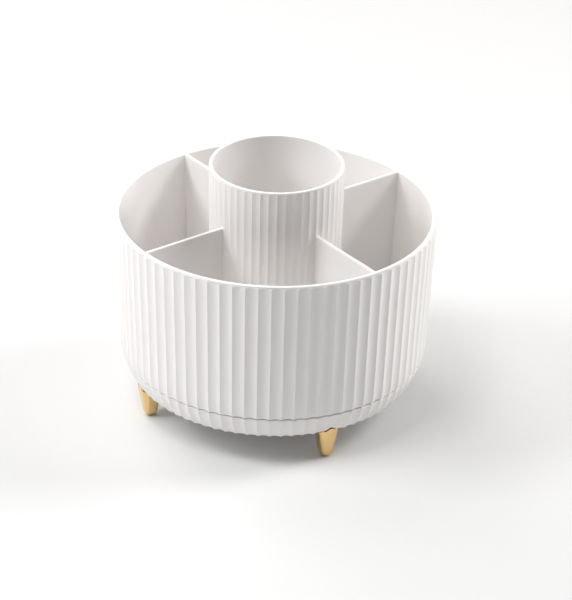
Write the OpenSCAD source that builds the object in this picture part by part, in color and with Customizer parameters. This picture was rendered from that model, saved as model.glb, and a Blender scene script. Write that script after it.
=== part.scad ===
// Round desk organizer that turns on a ball race: a fluted bowl with four compartments and a
// tall fluted centre cup, on a shallow fluted base with four plated feet. Millimetres, +Z up,
// origin on the table under the spin axis. Compartments face +X, +Y, -X and -Y.

/* [Overall] */
// Diameter of the smooth lip at the bowl's rim
rim_d = 160; // [140:1:180]
// Height of the bowl's rim above the table
rim_h = 104; // [96:1:115]
// Height of the centre cup's rim above the table
cup_h = 130; // [118:1:145]
// Height of the base's flat underside above the table
under_h = 13.5; // [11:0.5:16]
// Height of the seam between the turning bowl and the fixed base
seam_h = 28.6; // [27.8:0.1:30]
// Open gap at the seam
seam_gap = 0.5; // [0.4:0.1:1]

/* [Bowl wall] */
// How far the flutes' ridges stand out past the lip
ridge_proud = 0.6; // [0.4:0.1:1]
// Inward lean of the wall, per millimetre of height
draft = 0.0326; // [0.01:0.001:0.05]
// Height of the lip above the ends of the flutes
lip_h = 1.1; // [0.6:0.1:2]
// Wall from the ridges to the smooth inside
wall_t = 2.6; // [2.2:0.1:3.2]
// Thickness of the bowl's floor
floor_t = 2.2; // [1.8:0.1:3]
// Rounding between the bowl's floor and wall
corner_r = 4; // [2:0.5:6]

/* [Flutes] */
// Number of flutes round the bowl and base
flutes = 80; // [60:1:84]
// Depth of the bowl's flutes below their ridges
flute_depth = 0.55; // [0.3:0.05:0.7]
// Number of flutes round the cup
cup_flutes = 51; // [40:1:54]
// Depth of the cup's flutes below their ridges
cup_flute_depth = 0.27; // [0.15:0.01:0.4]

/* [Rounded lower edge] */
// Radius of the long upper curve
sweep_r = 38.5; // [36:0.5:42]
// Lean from the vertical where the long curve ends
sweep_end = 30; // [26:1:34]
// Radius of the short curve into the underside
turn_r = 9.2; // [8.6:0.1:9.6]

/* [Centre cup and dividers] */
// Diameter of the cup's smooth lip
cup_d = 67; // [60:0.5:74]
// Wall from the cup's lip to its smooth inside
cup_wall = 1.75; // [1.4:0.05:2.2]
// Inward lean of the cup, per millimetre of height
cup_draft = 0.0114; // [0.005:0.001:0.02]
// Thickness of the four dividers
divider_t = 1.9; // [1.5:0.1:2.5]

/* [Ball race] */
// Radius of the circle of ball centres
race_r = 36; // [34:0.5:38]
// Ball diameter
ball_d = 6; // [5.6:0.1:6.2]
// Number of balls
balls = 8; // [6:1:12]
// Play between each ball and its tracks and pocket
ball_play = 0.2; // [0.15:0.05:0.3]

/* [Pivot] */
// Spindle diameter, under the bowl's floor
spindle_d = 8; // [7:0.5:9]
// Diametral play of the spindle in its bush
spindle_play = 0.1; // [0.06:0.02:0.16]

/* [Feet] */
// Radius of the circle the four feet stand on
foot_pcr = 67.5; // [66:0.5:68.5]
// Angle of the first foot from +X
foot_angle = 31.3; // [20:0.1:40]
// Width of a foot near the base
foot_top_w = 11.5; // [10.5:0.1:12.5]
// Radius of the rounded tip
foot_tip_r = 3.6; // [3.2:0.1:4]
// Width of the flat spot a foot stands on
foot_flat = 2.6; // [2:0.1:3]

/* [Hidden] */
$fn = 64;
eps = 0.02;
turn_full = 360;

rim_r = rim_d / 2;
ridge_r = rim_r + ridge_proud;          // ridges, carried up to rim height
draft_a = atan(draft);
pitch = turn_full / flutes;
land = 0.3;                             // flat left on a ridge at the rim
chord = 2 * PI * ridge_r / flutes - land;

// The lower edge: a straight draft, then two tangent arcs down to the underside.
turn_z = under_h + turn_r * (1 - sin(sweep_end));
sweep_z = turn_z + sweep_r * (sin(sweep_end) - sin(draft_a));
sweep_top_r = ridge_r - draft * (rim_h - sweep_z);
sweep_cx = sweep_top_r - sweep_r * cos(draft_a);
sweep_cz = sweep_z + sweep_r * sin(draft_a);
turn_cx = sweep_cx + (sweep_r - turn_r) * cos(sweep_end);
turn_cz = under_h + turn_r;

bowl_z = seam_h + seam_gap / 2;         // bowl's lower edge
base_z = seam_h - seam_gap / 2;         // base's upper edge
seam_a = asin((sweep_cz - seam_h) / sweep_r);
floor_z = 33;                           // top of the bowl's floor
under_floor_z = floor_z - floor_t;
in_top_r = ridge_r - wall_t;            // smooth inside at rim height
function in_r(z) = in_top_r - draft * (rim_h - z);

// Flute cutters: one arc of a circle, kept narrower than a flute's pitch.
function arc_r(c, d) = (c * c / 4 + d * d) / (2 * d);
over_h = 2;                             // run of a straight cutter past the wall it cuts
heel_top_z = sweep_z + over_h;
heel_edge_r = sweep_cx + sqrt(sweep_r * sweep_r - (sweep_cz - bowl_z) * (sweep_cz - bowl_z));
heel_a = atan((sweep_top_r - heel_edge_r) / (sweep_z - bowl_z));
heel_r = heel_edge_r + 0.08;            // a straight cutter's best line past the curved heel
chord_base = 2 * PI * (sweep_cx + sweep_r * cos(sweep_end)) / flutes - land / 2;
cutter_over = 0.5;                      // reach of a cutter outside the ridges
fade_shift = flute_depth / (1 - cos(90 - sweep_end));
divider_a = 45;

cup_lip_r = cup_d / 2;
cup_proud = 0.25;
cup_ridge_r = cup_lip_r + cup_proud;
cup_lip_h = 1.0;
cup_floor_t = 2;
cup_in_r = cup_lip_r - cup_wall;
cup_draft_a = atan(cup_draft);
cup_pitch = turn_full / cup_flutes;
cup_chord = 2 * PI * (cup_ridge_r - cup_draft * (cup_h - floor_z)) / cup_flutes - 0.12;
cup_ridge_a = -81.53;                   // direction of one of the cup's ridges

ball_r = ball_d / 2;
ball_z = 25.4;
track_r = ball_r + ball_play;
track_half_w = 4.5;
rib_z = ball_z + 1.8;
plateau_z = ball_z - 1.8;
plateau_w = 5;
plateau_t = 2;
cage_t = 2.2;
ball_pitch = turn_full / balls;

spindle_r = spindle_d / 2;
bush_in_r = spindle_r + spindle_play / 2;
bush_r = 6;
bush_bottom_z = 16.6;
bush_top_z = 24;
flange_t = 1;
flange_r = 8.5;
hub_r = 9;
hub_recess_r = 7.6;
spindle_z = 16.2;
shoulder_z = bush_top_z + flange_t + 0.4;
shoulder_r = 8;
screw_r = 1.3;
screw_top_z = 25.5;
washer_r = 6.5;
washer_t = 0.9;
head_t = 1.2;
head_r = 2.7;
cross_w = 0.6;
cross_l = 3;

base_t = 2.4;
base_floor_z = under_h + base_t;
foot_top_z = 22;
foot_w_z = 16.5;                        // height at which a foot's width is measured
peg_r = 3;
peg_z = 19.4;
boss_r = 5;
boss_z = 20.4;
foot_screw_r = 1.2;
foot_screw_z = 11.5;
foot_head_r = 2.6;
foot_head_t = 1.6;
foot_corner_w = 1.1;                    // width across the bevelled corners, as a share of that across the sides

white = [0.94, 0.935, 0.93];
gold = [0.85, 0.68, 0.36];
steel = [0.72, 0.73, 0.74];
cream = [0.86, 0.85, 0.82];

// ---- profiles, x is the radius and y the height ----

module box2(x0, y0, x1, y1) {
    translate([x0, y0]) square([x1 - x0, y1 - y0]);
}

// Everything inside the ridge surface, drawn in by t
module outline(t) {
    polygon([
        [0, sweep_z], [sweep_top_r - t, sweep_z],
        [ridge_r - t, rim_h], [0, rim_h]
    ]);
    intersection() {
        union() {
            translate([sweep_cx, sweep_cz]) circle(r = sweep_r - t);
            box2(0, turn_z, sweep_cx, sweep_z);
        }
        box2(0, turn_z, ridge_r, sweep_z + eps);
    }
    intersection() {
        union() {
            translate([turn_cx, turn_cz]) circle(r = turn_r - t);
            box2(0, under_h + t, turn_cx, turn_z);
        }
        box2(0, under_h + t, ridge_r, turn_z + eps);
    }
}

// The space inside the bowl, with its rounded lower corner
module cavity(top) {
    corner_x = in_r(floor_z + corner_r) - corner_r;
    polygon([
        [0, floor_z], [corner_x, floor_z],
        [corner_x + corner_r, floor_z + corner_r],
        [in_r(top), top], [0, top]
    ]);
    intersection() {
        translate([corner_x, floor_z + corner_r]) circle(r = corner_r);
        box2(corner_x - eps, floor_z, corner_x + corner_r, floor_z + corner_r);
    }
}

module track() {
    translate([race_r, ball_z]) circle(r = track_r);
}

// ---- flute cutters ----

// Cross-section of a cutter: x = 0 is the ridge surface, and x grows outward
module flute_section(c, d) {
    r = arc_r(c, d);
    intersection() {
        translate([r - d, 0]) circle(r = r, $fn = 96);
        translate([-d - 0.1, -c / 2]) square([d + 0.1 + cutter_over, c]);
    }
}

// A straight flute down a drafted wall, from height z1 down to z0
module straight_flute(top_r, lean, z0, z1, c, d) {
    length = (z1 - z0) / cos(lean);
    translate([top_r - tan(lean) * (z1 - z0), 0, z0])
        rotate([0, lean, 0])
            linear_extrude(length) flute_section(c, d);
}

// A flute round an arc in the wall's own plane, from angle a0 to a1 below the horizontal
module arc_flute(cx, cz, r, a0, a1, c, d) {
    translate([cx, 0, cz])
        rotate([90, 0, 0])
            rotate([0, 0, -a1])
                rotate_extrude(angle = a1 - a0)
                    translate([r, 0]) flute_section(c, d);
}

// A foot's side view: a rounded tip with a flat spot, and straight sides that spread upward
module foot_side(w, tip) {
    tip_z = sqrt(foot_tip_r * foot_tip_r - foot_flat * foot_flat / 4);
    rise = foot_w_z - tip_z;
    reach = sqrt(w * w / 4 + rise * rise);
    side_a = acos(tip / reach) - atan2(rise, w / 2);
    top_x = w / 2 + (foot_top_z - foot_w_z) * tan(side_a);
    translate([0, tip_z]) circle(r = tip);
    polygon([
        [-tip * cos(side_a), tip_z - tip * sin(side_a)],
        [tip * cos(side_a), tip_z - tip * sin(side_a)],
        [top_x, foot_top_z], [-top_x, foot_top_z]
    ]);
}

// ---- fixed parts ----

module base_dish() {
    color(white) difference() {
        union() {
            rotate_extrude() {
                difference() {
                    intersection() {
                        outline(0);
                        box2(0, 0, ridge_r, base_z);
                    }
                    intersection() {
                        outline(base_t);
                        box2(0, 0, ridge_r, rim_h);
                    }
                }
                box2(race_r - plateau_w, base_floor_z - eps, race_r + plateau_w, plateau_z);
                box2(bush_r, under_h, hub_r, bush_top_z);
            }
            intersection() {
                for (i = [0:3]) rotate([0, 0, foot_angle + 90 * i])
                    translate([foot_pcr, 0, base_floor_z - 1]) cylinder(r = boss_r, h = boss_z - base_floor_z + 1);
                rotate_extrude() outline(base_t / 2);
            }
        }
        // ball track, the hollow under it, and the hub's bore and recess
        rotate_extrude() track();
        rotate_extrude()
            box2(race_r - plateau_w + plateau_t, under_h - 1, race_r + plateau_w - plateau_t,
                 ball_z - track_r - plateau_t);
        translate([0, 0, under_h - 1]) cylinder(r = bush_r, h = bush_top_z);
        translate([0, 0, under_h - 1]) cylinder(r = hub_recess_r, h = bush_bottom_z - under_h + 1);
        // pegs of the feet
        for (i = [0:3]) rotate([0, 0, foot_angle + 90 * i]) translate([foot_pcr, 0, 0]) {
            cylinder(r = peg_r, h = peg_z);
            cylinder(r = foot_screw_r + 0.2, h = boss_z + 1);
        }
        for (i = [0:flutes - 1]) rotate([0, 0, pitch * i]) {
            arc_flute(sweep_cx, sweep_cz, sweep_r, seam_a - 2, sweep_end, chord_base, flute_depth);
            arc_flute(turn_cx - fade_shift * cos(sweep_end), turn_cz + fade_shift * sin(sweep_end),
                      turn_r + fade_shift, sweep_end, 86, chord_base, flute_depth);
        }
    }
}

module hub_bush() {
    color(cream) rotate_extrude() {
        box2(bush_in_r, bush_bottom_z, bush_r, bush_top_z);
        box2(bush_in_r, bush_top_z, flange_r, bush_top_z + flange_t);
    }
}

// A foot, its panel facing away from the spin axis, trimmed to the base's rounded edge
module foot(i) {
    color(gold) rotate([0, 0, foot_angle + 90 * (i - 1)]) {
        difference() {
            intersection() {
                translate([foot_pcr, foot_top_w, 0]) rotate([90, 0, 0])
                    linear_extrude(2 * foot_top_w) foot_side(foot_top_w, foot_tip_r);
                translate([foot_pcr - foot_top_w, 0, 0]) rotate([90, 0, 90])
                    linear_extrude(2 * foot_top_w) foot_side(foot_top_w, foot_tip_r);
                foot_corners(45);
                foot_corners(-45);
                translate([foot_pcr - foot_top_w, -foot_top_w, 0])
                    cube([2 * foot_top_w, 2 * foot_top_w, foot_top_z]);
            }
            rotate_extrude() union() {
                outline(0);
                box2(0, turn_cz, rim_r, rim_h);
            }
            translate([foot_pcr, 0, foot_screw_z]) cylinder(r = foot_screw_r, h = foot_top_z);
        }
        difference() {
            translate([foot_pcr, 0, under_h - 1]) cylinder(r = peg_r, h = peg_z - under_h + 1);
            translate([foot_pcr, 0, foot_screw_z]) cylinder(r = foot_screw_r, h = foot_top_z);
        }
    }
}

// Cuts a pair of a foot's corners to bevels
module foot_corners(a) {
    translate([foot_pcr, 0, 0]) rotate([0, 0, a]) translate([0, foot_top_w, 0]) rotate([90, 0, 0])
        linear_extrude(2 * foot_top_w)
            foot_side(foot_top_w * foot_corner_w, foot_tip_r * foot_corner_w);
}

module foot_screws() {
    color(steel) for (i = [0:3]) rotate([0, 0, foot_angle + 90 * i]) translate([foot_pcr, 0, 0])
        difference() {
            union() {
                translate([0, 0, foot_screw_z]) cylinder(r = foot_screw_r, h = boss_z - foot_screw_z + eps);
                translate([0, 0, boss_z]) cylinder(r = foot_head_r, h = foot_head_t);
            }
            translate([0, 0, boss_z + foot_head_t]) cross_slot();
        }
}

module cross_slot() {
    translate([-cross_l / 2, -cross_w / 2, -0.7]) cube([cross_l, cross_w, 1.4]);
    translate([-cross_w / 2, -cross_l / 2, -0.7]) cube([cross_w, cross_l, 1.4]);
}

// ---- ball race ----

module ball_cage() {
    color(cream) difference() {
        translate([0, 0, ball_z - cage_t / 2]) cylinder(r = race_r + track_half_w, h = cage_t, $fn = 128);
        translate([0, 0, ball_z - cage_t]) cylinder(r = race_r - track_half_w, h = 2 * cage_t, $fn = 128);
        for (i = [0:balls - 1]) rotate([0, 0, ball_pitch * (i + 0.5)])
            translate([race_r, 0, ball_z - cage_t]) cylinder(r = track_r, h = 2 * cage_t);
    }
}

module ball(i) {
    color(steel) rotate([0, 0, ball_pitch * (i - 0.5)])
        translate([race_r, 0, ball_z]) sphere(r = ball_r);
}

// ---- turning parts ----

module tray_bowl() {
    color(white) difference() {
        difference() {
            rotate_extrude($fn = 160) {
                difference() {
                    intersection() {
                        outline(0);
                        union() {
                            box2(0, bowl_z, ridge_r, rim_h - lip_h - ridge_proud);
                            polygon([
                                [0, rim_h - lip_h - ridge_proud - eps],
                                [ridge_r, rim_h - lip_h - ridge_proud - eps],
                                [ridge_r, rim_h - lip_h - ridge_proud],
                                [rim_r, rim_h - lip_h], [rim_r, rim_h], [0, rim_h]
                            ]);
                        }
                    }
                    cavity(rim_h + 1);
                    box2(0, 0, in_r(bowl_z) - 0.6, under_floor_z);
                }
                box2(race_r - track_half_w, rib_z, race_r + track_half_w, under_floor_z + eps);
                box2(0, shoulder_z, shoulder_r, under_floor_z + eps);
                box2(0, spindle_z, spindle_r, shoulder_z + eps);
            }
            rotate_extrude() track();
            translate([0, 0, spindle_z - 1]) cylinder(r = screw_r, h = screw_top_z - spindle_z + 1);
            for (i = [0:flutes - 1]) rotate([0, 0, pitch * i])
                straight_flute(ridge_r + draft * over_h, draft_a, sweep_z - over_h, rim_h + over_h,
                               chord, flute_depth);
        }
        for (i = [0:flutes - 1]) rotate([0, 0, pitch * i])
            straight_flute(heel_r + tan(heel_a) * (heel_top_z - bowl_z), heel_a, bowl_z - over_h,
                           heel_top_z, chord, flute_depth);
    }
}

module cup_envelope(top) {
    cylinder(r1 = cup_ridge_r - cup_draft * cup_h, r2 = cup_ridge_r - cup_draft * (cup_h - top), h = top, $fn = 128);
}

module centre_cup() {
    lip_z = cup_h - cup_lip_h;
    color(white) difference() {
        rotate_extrude($fn = 128) polygon([
            [0, floor_z], [cup_ridge_r - cup_draft * (cup_h - floor_z), floor_z],
            [cup_ridge_r - cup_draft * (cup_h - lip_z + cup_proud), lip_z - cup_proud],
            [cup_lip_r, lip_z], [cup_lip_r, cup_h],
            [cup_in_r, cup_h],
            [cup_in_r - cup_draft * (cup_h - floor_z - cup_floor_t), floor_z + cup_floor_t],
            [0, floor_z + cup_floor_t]
        ]);
        for (i = [0:cup_flutes - 1]) rotate([0, 0, cup_ridge_a + cup_pitch * (i + 0.5)])
            straight_flute(cup_ridge_r, cup_draft_a, floor_z - 1, cup_h, cup_chord, cup_flute_depth);
    }
}

module divider(i) {
    color(white) difference() {
        intersection() {
            rotate_extrude($fn = 160) cavity(rim_h);
            rotate([0, 0, divider_a + 90 * (i - 1)])
                translate([cup_lip_r / 2, -divider_t / 2, floor_z]) cube([rim_r, divider_t, rim_h - floor_z]);
        }
        cup_envelope(cup_h);
    }
}

module pivot_washer() {
    color(steel) translate([0, 0, spindle_z - washer_t]) difference() {
        cylinder(r = washer_r, h = washer_t);
        translate([0, 0, -1]) cylinder(r = screw_r, h = washer_t + 2);
    }
}

module pivot_screw() {
    head_z = spindle_z - washer_t - head_t;
    color(steel) difference() {
        union() {
            translate([0, 0, head_z]) cylinder(r = head_r, h = head_t);
            translate([0, 0, head_z + head_t - eps]) cylinder(r = screw_r, h = screw_top_z - spindle_z + washer_t + eps);
        }
        translate([0, 0, head_z]) cross_slot();
    }
}

base_dish();
hub_bush();
for (i = [1:4]) foot(i);
foot_screws();
ball_cage();
for (i = [1:balls]) ball(i);
tray_bowl();
centre_cup();
for (i = [1:4]) divider(i);
pivot_washer();
pivot_screw();
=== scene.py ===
import math

import bmesh
import bpy
import numpy as np
from mathutils import Matrix, Vector

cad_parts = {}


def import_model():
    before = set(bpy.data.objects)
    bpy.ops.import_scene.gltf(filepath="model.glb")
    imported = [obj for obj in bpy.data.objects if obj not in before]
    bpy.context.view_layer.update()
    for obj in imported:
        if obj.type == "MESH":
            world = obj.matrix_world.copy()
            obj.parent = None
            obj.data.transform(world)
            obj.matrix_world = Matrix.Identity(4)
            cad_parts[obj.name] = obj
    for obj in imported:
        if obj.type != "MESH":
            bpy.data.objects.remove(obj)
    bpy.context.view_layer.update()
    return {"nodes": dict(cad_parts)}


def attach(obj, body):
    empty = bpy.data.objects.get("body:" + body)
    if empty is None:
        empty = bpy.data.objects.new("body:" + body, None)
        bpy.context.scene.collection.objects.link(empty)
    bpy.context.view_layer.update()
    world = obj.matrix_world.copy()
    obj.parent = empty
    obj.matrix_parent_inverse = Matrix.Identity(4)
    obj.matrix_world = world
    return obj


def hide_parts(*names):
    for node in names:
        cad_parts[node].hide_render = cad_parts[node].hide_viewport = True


MM = 0.001

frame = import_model()

# ---------------------------------------------------------------- dimensions
# Millimetres, as in part.scad unless a comment says otherwise.

# bowl
RIM_R = 80.0                # smooth lip
RIM_H = 104.0
RIDGE_R = 80.6              # the flutes' ridges, carried up to rim height
DRAFT = 0.0326              # narrowing of the wall per millimetre down
DRAFT_A = math.atan(DRAFT)
WALL = 2.6
LIP_ROUND = 0.55
FLOOR_Z = 33.0
FLOOR_T = 2.2
CORNER_R = 4.0              # between the floor and the wall
SKIRT_STEP = 0.6            # the skirt below the floor is this much thicker than the wall
BOWL_EDGE = 0.3             # rounding at the seam

# flutes of the bowl and the base
FLUTES = 80
FLUTE_DEPTH = 0.62          # 0.55 in the CAD, with the same ridges
RIDGE_PHASE = math.radians(360 / FLUTES / 2)      # a valley lies on +X
CREST = 0.022               # rounding of a ridge, as a share of the pitch
RIM_BAND = 0.6              # plain band under a rim, bowl and cup alike
EDGE_FADE = 0.15            # share of the flutes' depth lost round an edge at the seam
FADE_FROM = math.radians(52)                      # where they start to fade, on the short curve
FADE_OVER = math.radians(38)

# the lower outline: a long curve, then a short one into the underside
UNDER_H = 13.5
SEAM_H = 28.6
SEAM_GAP = 0.5
SEAM_EXTRA = 0.12           # the base's top edge is this much lower than the CAD's
SWEEP_R = 38.5
SWEEP_END = math.radians(30)
TURN_R = 9.2
TURN_Z = UNDER_H + TURN_R * (1 - math.sin(SWEEP_END))
SWEEP_Z = TURN_Z + SWEEP_R * (math.sin(SWEEP_END) - math.sin(DRAFT_A))
SWEEP_TOP_R = RIDGE_R - DRAFT * (RIM_H - SWEEP_Z)
SWEEP_CX = SWEEP_TOP_R - SWEEP_R * math.cos(DRAFT_A)
SWEEP_CZ = SWEEP_Z + SWEEP_R * math.sin(DRAFT_A)
TURN_CX = SWEEP_CX + (SWEEP_R - TURN_R) * math.cos(SWEEP_END)
TURN_CZ = UNDER_H + TURN_R
BOWL_Z = SEAM_H + SEAM_GAP / 2
BASE_Z = SEAM_H - SEAM_GAP / 2 - SEAM_EXTRA

# base
BASE_T = 2.4
BASE_EDGE = 0.5             # rounding at the seam
HUB_R = 9.0
HUB_TOP = 24.0
HUB_BORE_R = 6.0
HUB_RECESS_R = 7.6          # below the bore, for the washer
HUB_RECESS_Z = 16.6
BOSS_R = 5.0                # a boss over each foot, for its screw
BOSS_HOLE_R = 1.4
BOSS_LOW = 15.3
BOSS_TOP = 20.4

# race and spindle
RACE_R = 36.0
BALL_Z = 25.4
TRACK_R = 3.2
TRACK_FACE = 1.8            # from the balls' centres to the face that a track is cut in
TRACK_EDGE_A = math.degrees(math.asin(TRACK_FACE / TRACK_R))
RIB_HALF = 4.5              # the bowl's race rib, half its width
RIDGE_HALF = 5.0            # the base's race ridge
HOLLOW_HALF = 3.0           # the hollow under that ridge
HOLLOW_ROOF = BALL_Z - TRACK_R - 2
SHOULDER_R = 8.0
SHOULDER_Z = 25.4
SPINDLE_R = 4.0
SPINDLE_Z = 16.2
SPINDLE_HOLE_R = 1.3
SPINDLE_HOLE_TOP = 25.5

# cup
CUP_R = 33.5
CUP_H = 130.0
CUP_RIDGE_R = 33.75
CUP_WALL = 1.75
CUP_DRAFT = 0.0114
CUP_FLOOR_Z = FLOOR_Z + 2.0
CUP_CORNER_R = 2.5
CUP_LIP_ROUND = 0.5
CUP_LIFT = 0.02             # keeps the cup's underside off the bowl's floor
CUP_FLUTES = 51
CUP_FLUTE_DEPTH = 0.30      # 0.27 in the CAD
CUP_PHASE = math.radians(-81.53)

# dividers
DIVIDER_T = 1.9
DIVIDER_ROUND = 0.55        # top edge
DIVIDER_SINK = 0.25         # how far a panel runs into the cup and the bowl
FILLET = 0.7                # length of the flare where it meets them
FILLET_SHARE = 0.6          # the flare's width, as a share of that

# feet
FOOT_PCR = 67.5             # the feet stand on this circle
FOOT_ANGLE = 31.3
FOOT_W = 11.1               # 11.5 in the CAD, at height FOOT_W_Z
FOOT_W_Z = 16.5
FOOT_TIP_R = 3.4            # 3.6 in the CAD
FOOT_FLAT = 2.6             # flat spot under the tip
FOOT_PANEL = 0.545          # half-width of a flat panel, as a share of the foot's half-width
FOOT_DIAGONAL = 0.13        # how far a round corner stands out past the half-width
FOOT_EASE = 0.05            # softening where a panel meets a corner
FOOT_TOP_GAP = 0.42         # dark line between foot and base
FOOT_BEVEL_H = 0.75
FOOT_BEVEL_IN = 0.55
FOOT_TIP_Z = math.sqrt(FOOT_TIP_R ** 2 - FOOT_FLAT ** 2 / 4)
FOOT_RISE = FOOT_W_Z - FOOT_TIP_Z
FOOT_TAPER = (math.acos(FOOT_TIP_R / math.hypot(FOOT_W / 2, FOOT_RISE))
              - math.atan2(FOOT_RISE, FOOT_W / 2))
FOOT_TANGENT_Z = FOOT_TIP_Z - FOOT_TIP_R * math.sin(FOOT_TAPER)


def smooth(t):
    t = min(1.0, max(0.0, t))
    return t * t * (3 - 2 * t)


def wall_r(z):
    return RIDGE_R - DRAFT * (RIM_H - z)


def inner_r(z):
    return wall_r(z) - WALL


def cup_r(z):
    return CUP_RIDGE_R - CUP_DRAFT * (CUP_H - z)


def sweep_angle(z):
    """Lean of the long lower curve at height z."""
    return math.asin((SWEEP_CZ - z) / SWEEP_R)


# ---------------------------------------------------------------- mesh helpers
def new_object(name, verts, faces, sharp=40):
    mesh = bpy.data.meshes.new(name)
    mesh.from_pydata([tuple(v) for v in verts], [], faces)
    mesh.validate()
    mesh.update()
    mesh.polygons.foreach_set("use_smooth", [True] * len(mesh.polygons))
    mesh.set_sharp_from_angle(angle=math.radians(sharp))
    obj = bpy.data.objects.new(name, mesh)
    bpy.context.scene.collection.objects.link(obj)
    return obj


def flute_phases():
    """Points of one flute, from ridge to ridge: close together at the ridges, which are crisp."""
    half = [0, 0.014, 0.03, 0.055, 0.1, 0.17, 0.26, 0.37, 0.5]
    return half + [1 - u for u in reversed(half[1:-1])]


def hollow(u):
    """Share of a flute's depth at phase u: a round hollow between slightly rounded crests."""
    d = min(u, 1 - u)
    if d < CREST:
        d = d * d / (2 * CREST) + CREST / 2
    return 4 * d * (1 - d)


def ring_angles(count, phase):
    pitch = 2 * math.pi / count
    angles, depths = [], []
    for k in range(count):
        for u in flute_phases():
            angles.append(phase + (k + u) * pitch)
            depths.append(hollow(u))
    return np.array(angles), np.array(depths)


def revolve(name, rings, angles, depths, closed=False, sharp=40):
    """Turns rings of (r, z, nr, nz, cut) about the axis, with both ends capped unless closed.

    cut is how deep the flutes are at a ring, against its normal (nr, nz).
    """
    ca, sa = np.cos(angles), np.sin(angles)
    verts = []
    for r, z, nr, nz, cut in rings:
        rr = r - cut * depths * nr
        zz = z - cut * depths * nz
        verts.append(np.stack([rr * ca, rr * sa, zz], 1))
    n, m = len(rings), len(angles)
    faces = []
    for i in range(n if closed else n - 1):
        a, b = i * m, ((i + 1) % n) * m
        for j in range(m):
            k = (j + 1) % m
            faces.append((a + j, a + k, b + k, b + j))
    if not closed:
        faces.append(tuple(range(m))[::-1])
        faces.append(tuple((n - 1) * m + j for j in range(m)))
    return new_object(name, np.concatenate(verts) * MM, faces, sharp)


def plain(points):
    """Rings with no flutes."""
    return [(r, z, 1.0, 0.0, 0.0) for r, z in points]


def arc(cx, cz, r, a0, a1, steps):
    """Points round (cx, cz), angles in degrees from +r towards +z."""
    return [(cx + r * math.cos(math.radians(a0 + (a1 - a0) * i / steps)),
             cz + r * math.sin(math.radians(a0 + (a1 - a0) * i / steps)))
            for i in range(steps + 1)]


def lip_rings(inner, outer, top, radius):
    """A rim with a round edge on either side, from the inside to the outside."""
    return plain(arc(inner + radius, top - radius, radius, 180, 90, 5)
                 + arc(outer - radius, top - radius, radius, 90, 0, 5))


def fluted_wall(rim_r, rim_z, foot_z, outside, depth, run, flare, scoop, steps):
    """Rings from under a smooth rim down to foot_z.

    Over the first run millimetres the ridges flare out and the flutes scoop in.
    """
    z0, z1 = rim_z - RIM_BAND, rim_z - run
    rings = []
    for i in range(steps + 1):
        z = z0 + (z1 - z0) * i / steps
        rings.append((rim_r + (outside(z) - rim_r) * smooth((z0 - z) / flare), z, 1.0, 0.0,
                      depth * smooth((z0 - z) / scoop)))
    for i in range(1, steps + 2):
        z = z1 + (foot_z - z1) * i / (steps + 1)
        rings.append((outside(z), z, 1.0, 0.0, depth))
    return rings


def face_outward(obj):
    bm = bmesh.new()
    bm.from_mesh(obj.data)
    bmesh.ops.recalc_face_normals(bm, faces=bm.faces)
    bm.to_mesh(obj.data)
    bm.free()


# ---------------------------------------------------------------- materials
class Nodes:
    """An emptied node tree, with short ways to add to it."""

    def __init__(self, name):
        self.mat = bpy.data.materials.new(name)
        self.mat.use_nodes = True
        self.tree = self.mat.node_tree
        self.tree.nodes.clear()
        self.bsdf = self.add("ShaderNodeBsdfPrincipled")
        self.link(self.bsdf.outputs[0], self.add("ShaderNodeOutputMaterial").inputs[0])
        self.coord = self.add("ShaderNodeTexCoord")

    def add(self, kind, **values):
        node = self.tree.nodes.new(kind)
        for key, value in values.items():
            if key in node.inputs:
                node.inputs[key].default_value = value
            else:
                setattr(node, key, value)
        return node

    def link(self, source, target):
        self.tree.links.new(source, target)

    def noise(self, scale, detail, roughness=0.5):
        node = self.add("ShaderNodeTexNoise", Scale=scale, Detail=detail, Roughness=roughness)
        self.link(self.coord.outputs["Object"], node.inputs["Vector"])
        return node.outputs["Fac"]

    def blend(self, fac, first, second):
        """A colour between two colours."""
        node = self.add("ShaderNodeMix", data_type="RGBA")
        node.inputs[6].default_value = (*first, 1)
        node.inputs[7].default_value = (*second, 1)
        self.link(fac, node.inputs[0])
        return node.outputs[2]

    def remap(self, value, low, high, to_low, to_high):
        node = self.add("ShaderNodeMapRange")
        for key, number in (("From Min", low), ("From Max", high),
                            ("To Min", to_low), ("To Max", to_high)):
            node.inputs[key].default_value = number
        self.link(value, node.inputs["Value"])
        return node.outputs["Result"]

    def bump(self, height, strength, distance, normal=None):
        node = self.add("ShaderNodeBump", Strength=strength, Distance=distance)
        self.link(height, node.inputs["Height"])
        if normal:
            self.link(normal, node.inputs["Normal"])
        return node.outputs[0]


def plastic(name, base, rough, tint):
    """Moulded plastic: a slight flow of colour, a fine tooled grain and softly rubbed patches."""
    nodes = Nodes(name)
    bsdf = nodes.bsdf
    fine = nodes.noise(2600.0, 2.0, 0.6)
    patches = nodes.noise(38.0, 4.0, 0.62)
    colour = nodes.blend(nodes.noise(9.0, 3.0), base, tint)
    shade = nodes.add("ShaderNodeMix", data_type="RGBA", blend_type="MULTIPLY")
    shade.inputs[0].default_value = 1.0
    nodes.link(colour, shade.inputs[6])
    nodes.link(nodes.remap(fine, 0.3, 0.7, 0.98, 1.0), shade.inputs[7])
    nodes.link(shade.outputs[2], bsdf.inputs["Base Color"])
    nodes.link(nodes.remap(patches, 0.35, 0.75, rough - 0.05, rough + 0.09),
               bsdf.inputs["Roughness"])
    grain = nodes.bump(fine, 0.02, 0.0004)
    nodes.link(nodes.bump(patches, 0.12, 0.0003, grain), bsdf.inputs["Normal"])
    bsdf.inputs["IOR"].default_value = 1.49
    return nodes.mat


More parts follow.
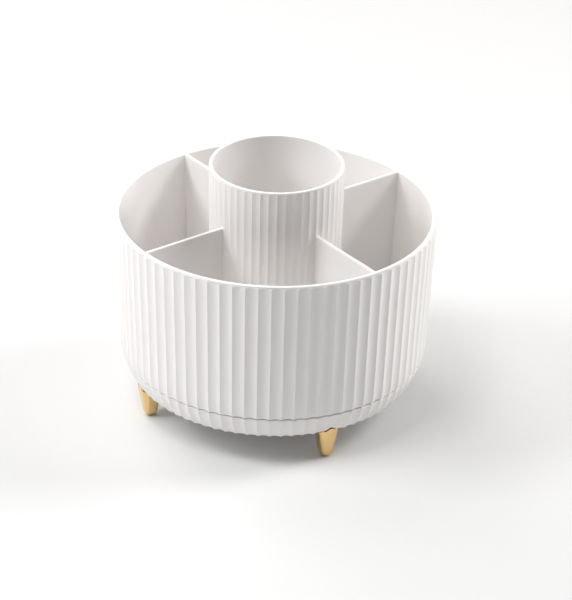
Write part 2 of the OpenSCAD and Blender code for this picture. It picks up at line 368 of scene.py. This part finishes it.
def metal(name, colour, rough, warm, grain_scale=900.0):
    """Plated or turned metal: tone shifts, softened rubbed patches and a fine ripple."""
    nodes = Nodes(name)
    bsdf = nodes.bsdf
    fine = nodes.noise(grain_scale, 4.0, 0.6)
    nodes.link(nodes.blend(nodes.noise(120.0, 3.0), colour, warm), bsdf.inputs["Base Color"])
    nodes.link(nodes.remap(fine, 0.3, 0.75, rough - 0.04, rough + 0.08),
               bsdf.inputs["Roughness"])
    nodes.link(nodes.bump(fine, 0.03, 0.0003), bsdf.inputs["Normal"])
    bsdf.inputs["Metallic"].default_value = 1.0
    return nodes.mat


WHITE = plastic("white_shell", (0.925, 0.902, 0.890), 0.40, (0.938, 0.918, 0.906))
CAGE = plastic("cage_plastic", (0.74, 0.74, 0.70), 0.5, (0.78, 0.77, 0.73))
BUSH = plastic("bush_plastic", (0.80, 0.79, 0.76), 0.45, (0.84, 0.83, 0.79))
GOLD = metal("gold_plating", (0.78, 0.54, 0.25), 0.13, (0.85, 0.61, 0.30))
STEEL = metal("steel", (0.56, 0.57, 0.58), 0.26, (0.62, 0.62, 0.62), grain_scale=1500.0)


def dress(obj, mat):
    obj.data.materials.clear()
    obj.data.materials.append(mat)


def place(obj, mat, body, node):
    face_outward(obj)
    dress(obj, mat)
    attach(obj, body)
    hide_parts(node)


# ---------------------------------------------------------------- camera, at the photograph's place
CAM_AZ = math.radians(7.3)
CAM_EL = math.radians(29.118)
CAM_ROLL = math.radians(-1.3854)
CAM_DIST = 1245.86
AIM_RIGHT = 4.963           # from the centre of the bowl's rim to the point the camera looks at
AIM_UP = -44.791
LENS = 149.92
SENSOR = 36.0


def make_camera():
    right = Vector((math.cos(CAM_AZ), math.sin(CAM_AZ), 0))
    back = Vector((math.sin(CAM_AZ) * math.cos(CAM_EL),
                   -math.cos(CAM_AZ) * math.cos(CAM_EL), math.sin(CAM_EL)))
    up = back.cross(right)
    x = math.cos(CAM_ROLL) * right - math.sin(CAM_ROLL) * up
    y = math.sin(CAM_ROLL) * right + math.cos(CAM_ROLL) * up
    aim = Vector((0, 0, RIM_H)) + AIM_RIGHT * x + AIM_UP * y
    data = bpy.data.cameras.new("camera")
    data.lens = LENS
    data.sensor_width = SENSOR
    data.clip_start, data.clip_end = 0.05, 20
    cam = bpy.data.objects.new("camera", data)
    matrix = Matrix((x, y, back)).transposed().to_4x4()
    matrix.translation = (aim + CAM_DIST * back) * MM
    cam.matrix_world = matrix
    bpy.context.scene.collection.objects.link(cam)
    bpy.context.scene.camera = cam


make_camera()


# ---------------------------------------------------------------- bowl
def lower_rings(z_from, z_to, steps):
    """Fluted rings down the long lower curve."""
    rings = []
    for i in range(steps + 1):
        z = z_from + (z_to - z_from) * i / steps
        a = sweep_angle(z)
        rings.append((SWEEP_CX + SWEEP_R * math.cos(a), z, math.cos(a), -math.sin(a),
                      FLUTE_DEPTH))
    return rings


def edge_round(z, radius, steps, up):
    """Rounds the fluted outside where it ends at height z, turning inward, upward or downward."""
    rings = []
    a = sweep_angle(z)
    out = Vector((math.cos(a), -math.sin(a)))
    along = Vector((math.sin(a), math.cos(a))) * (1 if up else -1)
    end = Vector((SWEEP_CX + SWEEP_R * math.cos(a), z))
    centre = end - out * radius - along * radius
    for i in range(steps + 1):
        t = math.pi / 2 * i / steps
        p = centre + radius * (math.cos(t) * out + math.sin(t) * along)
        rings.append((p.x, p.y, out.x, out.y, FLUTE_DEPTH * (1 - EDGE_FADE * i / steps)))
    return rings


def build_bowl():
    angles, depths = ring_angles(FLUTES, RIDGE_PHASE)
    # inside: floor, rounded corner, wall up to the lip
    corner_x = inner_r(FLOOR_Z + CORNER_R) - CORNER_R
    rings = plain([(r, FLOOR_Z) for r in (1.0, 12.0, 30.0, 34.0, 50.0, 62.0)])
    rings += plain(arc(corner_x, FLOOR_Z + CORNER_R, CORNER_R, -90, -math.degrees(DRAFT_A), 9))
    rings += plain([(inner_r(z), z) for z in (44, 56, 68, 80, 92, RIM_H - LIP_ROUND - 0.5)])
    # outside: the lip, the wall, the long lower curve, and the round edge at the seam
    rings += lip_rings(inner_r(RIM_H), RIM_R, RIM_H, LIP_ROUND)
    rings += fluted_wall(RIM_R, RIM_H, SWEEP_Z, wall_r, FLUTE_DEPTH,
                         run=2.1, flare=0.8, scoop=1.05, steps=9)
    rings += lower_rings(SWEEP_Z - 0.8, BOWL_Z + BOWL_EDGE, 8)
    rings += edge_round(BOWL_Z, BOWL_EDGE, 4, up=False)
    # up inside the skirt, and under the floor with its race rib and spindle
    skirt_r = inner_r(BOWL_Z) - SKIRT_STEP
    under = FLOOR_Z - FLOOR_T
    rib_in, rib_out, rib_z = RACE_R - RIB_HALF, RACE_R + RIB_HALF, BALL_Z + TRACK_FACE
    rings += plain([(skirt_r + 0.3, BOWL_Z), (skirt_r, BOWL_Z + 0.3),
                    (skirt_r, under - 0.6), (skirt_r - 0.6, under),
                    (rib_out + 0.5, under), (rib_out, under - 0.5),
                    (rib_out, rib_z + 0.2), (rib_out - 0.2, rib_z)])
    rings += plain(arc(RACE_R, BALL_Z, TRACK_R, TRACK_EDGE_A, 180 - TRACK_EDGE_A, 10))
    rings += plain([(rib_in + 0.2, rib_z), (rib_in, rib_z + 0.2),
                    (rib_in, under - 0.5), (rib_in - 0.5, under),
                    (SHOULDER_R + 0.4, under), (SHOULDER_R, under - 0.4),
                    (SHOULDER_R, SHOULDER_Z + 0.2), (SHOULDER_R - 0.2, SHOULDER_Z),
                    (SPINDLE_R + 0.3, SHOULDER_Z), (SPINDLE_R, SHOULDER_Z - 0.3),
                    (SPINDLE_R, SPINDLE_Z + 0.3), (SPINDLE_R - 0.3, SPINDLE_Z),
                    (SPINDLE_HOLE_R + 0.05, SPINDLE_Z), (SPINDLE_HOLE_R, SPINDLE_Z + 0.1),
                    (SPINDLE_HOLE_R, SPINDLE_HOLE_TOP)])
    return revolve("bowl", rings, angles, depths, sharp=38)


place(build_bowl(), WHITE, "tray", "tray_bowl")


# ---------------------------------------------------------------- centre cup
def build_cup():
    angles, depths = ring_angles(CUP_FLUTES, CUP_PHASE)
    in_r = CUP_R - CUP_WALL
    corner_z = CUP_FLOOR_Z + CUP_CORNER_R

    def in_at(z):
        return in_r - CUP_DRAFT * (CUP_H - z)

    rings = plain([(r, CUP_FLOOR_Z) for r in (1.0, 14.0, 24.0)])
    rings += plain(arc(in_at(corner_z) - CUP_CORNER_R, corner_z, CUP_CORNER_R, -90, 0, 7))
    rings += plain([(in_at(z), z) for z in (50, 70, 90, 110, CUP_H - CUP_LIP_ROUND - 0.5)])
    rings += lip_rings(in_r, CUP_R, CUP_H, CUP_LIP_ROUND)
    rings += fluted_wall(CUP_R, CUP_H, FLOOR_Z + CUP_LIFT, cup_r, CUP_FLUTE_DEPTH,
                         run=1.8, flare=0.7, scoop=0.9, steps=8)
    rings += plain([(r, FLOOR_Z + CUP_LIFT) for r in (30.0, 1.0)])
    return revolve("cup", rings, angles, depths, sharp=38)


place(build_cup(), WHITE, "tray", "centre_cup")


# ---------------------------------------------------------------- dividers
def divider_span(z):
    """Where a panel starts inside the cup's wall and ends inside the bowl's, at height z."""
    start = cup_r(z) - CUP_FLUTE_DEPTH - DIVIDER_SINK
    corner_z = FLOOR_Z + CORNER_R
    if z >= corner_z:
        return start, inner_r(z) + DIVIDER_SINK
    reach = math.sqrt(max(0.0, CORNER_R ** 2 - (corner_z - z) ** 2))
    return start, inner_r(corner_z) - CORNER_R + reach + DIVIDER_SINK


def divider_flare(d):
    """How much thicker a side of the panel is at the distance d from the wall that it meets."""
    if d >= FILLET:
        return 0.0
    d = max(0.0, d)
    return FILLET_SHARE * (FILLET - math.sqrt(max(0.0, FILLET * FILLET - (FILLET - d) ** 2)))


def build_divider(index, angle):
    """A thin panel with a rounded top edge that flares slightly where it meets cup and bowl."""
    half = DIVIDER_T / 2
    side_top = RIM_H - DIVIDER_ROUND
    loop = [(half, z) for z in (FLOOR_Z, FLOOR_Z + 0.7, FLOOR_Z + 2.0, FLOOR_Z + CORNER_R,
                                45, 58, 71, 84, 95, 101, side_top)]
    for i in range(1, 5):
        t = math.pi / 2 * i / 4
        loop.append((half - DIVIDER_ROUND + DIVIDER_ROUND * math.cos(t),
                     side_top + DIVIDER_ROUND * math.sin(t)))
    loop += [(-y, z) for y, z in reversed(loop)]
    steps = [0, 0.15, 0.35, 0.6, 1.0, 3, 8, 14, 20]
    cols = 2 * len(steps) + 1
    ca, sa = math.cos(angle), math.sin(angle)
    verts = []
    for y, z in loop:
        a, b = divider_span(z)
        xs = [a + s for s in steps] + [a + (b - a) * 0.5] + [b - s for s in reversed(steps)]
        for x in xs:
            grow = divider_flare(min(x - a, b - x) - DIVIDER_SINK) if z <= side_top else 0.0
            yy = y + math.copysign(grow, y)
            verts.append(((x * ca - yy * sa) * MM, (x * sa + yy * ca) * MM, z * MM))
    faces = []
    rows = len(loop)
    for i in range(rows):
        k = (i + 1) % rows
        for j in range(cols - 1):
            faces.append((i * cols + j, i * cols + j + 1, k * cols + j + 1, k * cols + j))
    faces.append(tuple(i * cols for i in range(rows)))
    faces.append(tuple(i * cols + cols - 1 for i in reversed(range(rows))))
    return new_object(f"divider_panel_{index}", verts, faces, 45)


for i in range(4):
    panel = build_divider(i + 1, math.radians(45 + 90 * i))
    place(panel, WHITE, "tray", f"divider_{i + 1}")


# ---------------------------------------------------------------- base
def turn_cut(a):
    """Depth of the flutes, which fade out round the short curve."""
    return FLUTE_DEPTH * (1 - smooth((a - FADE_FROM) / FADE_OVER))


def build_base():
    angles, depths = ring_angles(FLUTES, RIDGE_PHASE)
    # outside, from the round edge at the seam down and round to the underside
    rings = edge_round(BASE_Z, BASE_EDGE, 5, up=True)[::-1]
    rings += lower_rings(BASE_Z - BASE_EDGE - 0.4, TURN_Z, 12)
    for i in range(1, 15):
        a = SWEEP_END + (math.pi / 2 - SWEEP_END) * i / 14
        rings.append((TURN_CX + TURN_R * math.cos(a), TURN_CZ - TURN_R * math.sin(a),
                      math.cos(a), -math.sin(a), turn_cut(a)))
    # underside: flat, the hollow under the race, the hub's recess and bore
    out, inn = RACE_R + HOLLOW_HALF, RACE_R - HOLLOW_HALF
    rings += plain([(out + 0.6, UNDER_H), (out, UNDER_H + 0.5),
                    (out, HOLLOW_ROOF - 0.4), (out - 0.4, HOLLOW_ROOF),
                    (inn + 0.4, HOLLOW_ROOF), (inn, HOLLOW_ROOF - 0.4),
                    (inn, UNDER_H + 0.5), (inn - 0.6, UNDER_H),
                    (HUB_RECESS_R + 0.5, UNDER_H), (HUB_RECESS_R, UNDER_H + 0.5),
                    (HUB_RECESS_R, HUB_RECESS_Z), (HUB_BORE_R, HUB_RECESS_Z),
                    (HUB_BORE_R, HUB_TOP), (HUB_R - 0.3, HUB_TOP), (HUB_R, HUB_TOP - 0.3)])
    # inside: floor, the ridge with its track, and up the wall
    top = UNDER_H + BASE_T
    face = BALL_Z - TRACK_FACE
    out, inn = RACE_R + RIDGE_HALF, RACE_R - RIDGE_HALF
    rings += plain([(HUB_R, top + 0.5), (HUB_R + 0.5, top), (inn - 0.5, top), (inn, top + 0.5),
                    (inn, face - 0.2), (inn + 0.2, face)])
    rings += plain(arc(RACE_R, BALL_Z, TRACK_R, -180 + TRACK_EDGE_A, -TRACK_EDGE_A, 10))
    rings += plain([(out - 0.2, face), (out, face - 0.2), (out, top + 0.5), (out + 0.5, top)])
    turn_r, sweep_r = TURN_R - BASE_T, SWEEP_R - BASE_T
    for i in range(9):
        a = math.pi / 2 - (math.pi / 2 - SWEEP_END) * i / 8
        rings += plain([(TURN_CX + turn_r * math.cos(a), TURN_CZ - turn_r * math.sin(a))])
    wall_low, wall_top = TURN_Z + 1.2, BASE_Z - 0.3
    for i in range(1, 7):
        z = wall_low + (wall_top - wall_low) * i / 6
        rings += plain([(SWEEP_CX + sweep_r * math.cos(sweep_angle(z)), z)])
    end_r = SWEEP_CX + SWEEP_R * math.cos(sweep_angle(BASE_Z))
    rings += plain([(end_r - BASE_T + 0.3, BASE_Z)])
    return revolve("base_shell", rings, angles, depths, closed=True, sharp=38)


def add_bosses(shell):
    """Bosses inside the base, where a screw's head bears over each foot."""
    sides = 48
    angles = np.linspace(0, 2 * math.pi, sides + 1)[:-1]
    section = plain([(BOSS_R, BOSS_LOW), (BOSS_R, BOSS_TOP - 0.3), (BOSS_R - 0.3, BOSS_TOP),
                     (BOSS_HOLE_R + 0.3, BOSS_TOP), (BOSS_HOLE_R, BOSS_TOP - 0.3),
                     (BOSS_HOLE_R, BOSS_LOW)])
    boss = revolve("boss", section, angles, np.zeros(sides), closed=True)
    bm = bmesh.new()
    bm.from_mesh(shell.data)
    for i in range(4):
        a = math.radians(FOOT_ANGLE + 90 * i)
        part = boss.data.copy()
        part.transform(Matrix.Translation((FOOT_PCR * MM * math.cos(a),
                                           FOOT_PCR * MM * math.sin(a), 0)))
        bm.from_mesh(part)
        bpy.data.meshes.remove(part)
    bm.to_mesh(shell.data)
    bm.free()
    bpy.data.objects.remove(boss)


base = build_base()
add_bosses(base)
place(base, WHITE, "base", "base_dish")


# ---------------------------------------------------------------- feet
def foot_half_width(z):
    if z < FOOT_TANGENT_Z:
        return math.sqrt(max(0.0, FOOT_TIP_R ** 2 - (FOOT_TIP_Z - z) ** 2))
    return FOOT_W / 2 + (z - FOOT_W_Z) * math.tan(FOOT_TAPER)


SURFACE_A = np.linspace(sweep_angle(BASE_Z), math.pi / 2, 240)


def base_surface(x, y, gap):
    """Height of the base's fluted outside over the point (x, y), less a gap."""
    u = ((math.atan2(y, x) - RIDGE_PHASE) / (2 * math.pi / FLUTES)) % 1.0
    cut = hollow(u)
    rs, zs = [], []
    for a in SURFACE_A[::-1]:
        cx, cz, radius = ((SWEEP_CX, SWEEP_CZ, SWEEP_R) if a < SWEEP_END
                          else (TURN_CX, TURN_CZ, TURN_R))
        d = radius - turn_cut(a) * cut + gap
        rs.append(cx + d * math.cos(a))
        zs.append(cz - d * math.sin(a))
    return float(np.interp(math.hypot(x, y), rs, zs))


def foot_section(panel):
    """A foot's outline on a unit half-width.

    It has four flat panels of half-width panel, and round corners between them.
    """
    share = panel / FOOT_PANEL
    diagonal = 1 + FOOT_DIAGONAL * share
    c = (panel ** 2 + 1 - diagonal ** 2) / (2 * (panel + 1) - 2 * math.sqrt(2) * diagonal)
    r = math.hypot(panel - c, 1 - c)
    a0 = math.atan2(1 - c, panel - c)
    a1 = math.pi / 2 - a0
    ease = FOOT_EASE * share
    side = [(panel * 0.35, 1.0), (panel * 0.7, 1.0), (panel - ease, 1.0)]
    turn = [(c + r * math.cos(a0 + (a1 - a0) * i / 10), c + r * math.sin(a0 + (a1 - a0) * i / 10))
            for i in range(1, 10)]
    turn = [(panel, 1 - 0.25 * ease)] + turn + [(1 - 0.25 * ease, panel)]
    quarter = [(0.0, 1.0)] + side + turn + [(y, x) for x, y in reversed(side)]
    loop = []
    for k in range(4):
        a = k * math.pi / 2
        for x, y in quarter:
            loop.append((x * math.cos(a) + y * math.sin(a), -x * math.sin(a) + y * math.cos(a)))
    return loop


def build_foot(index, angle):
    full = foot_section(FOOT_PANEL)
    m = len(full)
    ca, sa = math.cos(angle), math.sin(angle)

    def world(px, py):
        """Foot coordinates: px across, py outward."""
        rx, ry = FOOT_PCR + py, -px
        return rx * ca - ry * sa, rx * sa + ry * ca

    def top_height(ux, uy):
        """Where the foot's side meets the base, found in a few passes."""
        z = 16.0
        for _ in range(6):
            w = foot_half_width(z)
            z = base_surface(*world(ux * w, uy * w), FOOT_TOP_GAP)
        return z

    tops = [top_height(ux, uy) for ux, uy in full]
    # the tip is round, and the panels grow out of it
    low = [0.0, 0.05, 0.15, 0.3, 0.5, 0.75, 1.0, 1.3, 1.65, 2.0, 2.4, 2.8, 3.3, 3.9, 4.6, 5.5,
           6.6, 7.8, 9.0]
    rows = []
    for z in low:
        w = foot_half_width(z)
        section = foot_section(FOOT_PANEL * smooth((z - 0.5) / 3.0) + 0.001)
        rows.append([(ux * w, uy * w, z) for ux, uy in section])
    # up to the bevel, then the bevel, which follows the base
    for t in (0.3, 0.6, 0.85, 1.0):
        row = []
        for (ux, uy), zt in zip(full, tops):
            z = low[-1] + (zt - FOOT_BEVEL_H - low[-1]) * t
            w = foot_half_width(z)
            row.append((ux * w, uy * w, z))
        rows.append(row)
    for t in (0.1, 0.3, 0.55, 0.8, 1.0):
        row = []
        for (ux, uy), zt in zip(full, tops):
            z = zt - FOOT_BEVEL_H + FOOT_BEVEL_H * t
            w = foot_half_width(z) - FOOT_BEVEL_IN * t ** 1.5
            row.append((ux * w, uy * w, z))
        rows.append(row)
    verts = []
    for row in rows:
        for px, py, z in row:
            x, y = world(px, py)
            verts.append((x * MM, y * MM, z * MM))
    faces = []
    for i in range(len(rows) - 1):
        for j in range(m):
            k = (j + 1) % m
            faces.append((i * m + j, (i + 1) * m + j, (i + 1) * m + k, i * m + k))
    faces.append(tuple(range(m)))
    faces.append(tuple((len(rows) - 1) * m + j for j in reversed(range(m))))
    return new_object(f"foot_body_{index}", verts, faces, 24)


for i in range(4):
    foot = build_foot(i + 1, math.radians(FOOT_ANGLE + 90 * i))
    place(foot, GOLD, "base", f"foot_{i + 1}")

# ---------------------------------------------------------------- carried-over CAD nodes
dress(frame["nodes"]["hub_bush"], BUSH)
dress(frame["nodes"]["ball_cage"], CAGE)
for name in ["foot_screws", "pivot_washer", "pivot_screw"] + [f"ball_{i}" for i in range(1, 9)]:
    dress(frame["nodes"][name], STEEL)


# ---------------------------------------------------------------- floor and light
FLOOR_HALF = 6.0            # metres
LIGHT_DISTANCE = 1.5        # metres
LIGHT_TARGET_Z = 0.06
LIGHT_LEVEL = 0.94
WORLD_LEVEL = 0.05
# name, degrees round from the camera's side (right is positive), elevation, side in metres,
# watts, colour
LIGHTS = [
    ("back_left_low", -150, 18, 0.85, 7.0, (1.0, 0.98, 0.96)),
    ("back_left", -135, 52, 0.95, 7.5, (1.0, 0.98, 0.96)),
    ("back_right_low", 115, 10, 0.5, 6.5, (1.0, 0.995, 0.985)),
    ("right", 103, 40, 0.5, 11.8, (1.0, 0.995, 0.985)),
    ("top_left", -45, 68, 0.5, 7.6, (1.0, 0.99, 0.98)),
    ("top_right", 45, 66, 0.5, 1.2, (1.0, 0.99, 0.98)),
    ("left_back", -85, 44, 0.5, 8.4, (0.985, 0.99, 1.0)),
    ("left", -67, 33, 0.5, 3.3, (0.97, 0.985, 1.0)),
    ("left_low", -82, 8, 0.5, 2.0, (0.97, 0.985, 1.0)),
]


def build_stage():
    nodes = Nodes("studio_floor")
    nodes.link(nodes.blend(nodes.noise(3.0, 2.0), (0.76, 0.76, 0.76), (0.79, 0.79, 0.79)),
               nodes.bsdf.inputs["Base Color"])
    nodes.bsdf.inputs["Roughness"].default_value = 0.8
    h = FLOOR_HALF
    floor = new_object("floor", [(-h, -h, 0), (h, -h, 0), (h, h, 0), (-h, h, 0)], [(0, 1, 2, 3)])
    dress(floor, nodes.mat)


def area_light(name, azimuth, elevation, size, power, colour):
    """A square light round the object, turned to it: azimuth 0 is the camera's side."""
    a = math.radians(azimuth) + CAM_AZ
    e = math.radians(elevation)
    target = Vector((0, 0, LIGHT_TARGET_Z))
    where = target + LIGHT_DISTANCE * Vector((math.sin(a) * math.cos(e),
                                              -math.cos(a) * math.cos(e), math.sin(e)))
    data = bpy.data.lights.new(name, "AREA")
    data.shape = "RECTANGLE"
    data.size = data.size_y = size
    data.energy = power
    data.color = colour
    obj = bpy.data.objects.new(name, data)
    obj.location = where
    obj.rotation_euler = (target - where).to_track_quat("-Z", "Y").to_euler()
    bpy.context.scene.collection.objects.link(obj)


def build_lights():
    for name, azimuth, elevation, size, power, colour in LIGHTS:
        area_light(name, azimuth, elevation, size, LIGHT_LEVEL * power, colour)
    world = bpy.data.worlds.new("studio")
    bpy.context.scene.world = world
    world.use_nodes = True
    background = world.node_tree.nodes["Background"]
    background.inputs[0].default_value = (1, 1, 1, 1)
    background.inputs[1].default_value = WORLD_LEVEL


build_stage()
build_lights()
bpy.context.scene.view_settings.view_transform = "Standard"
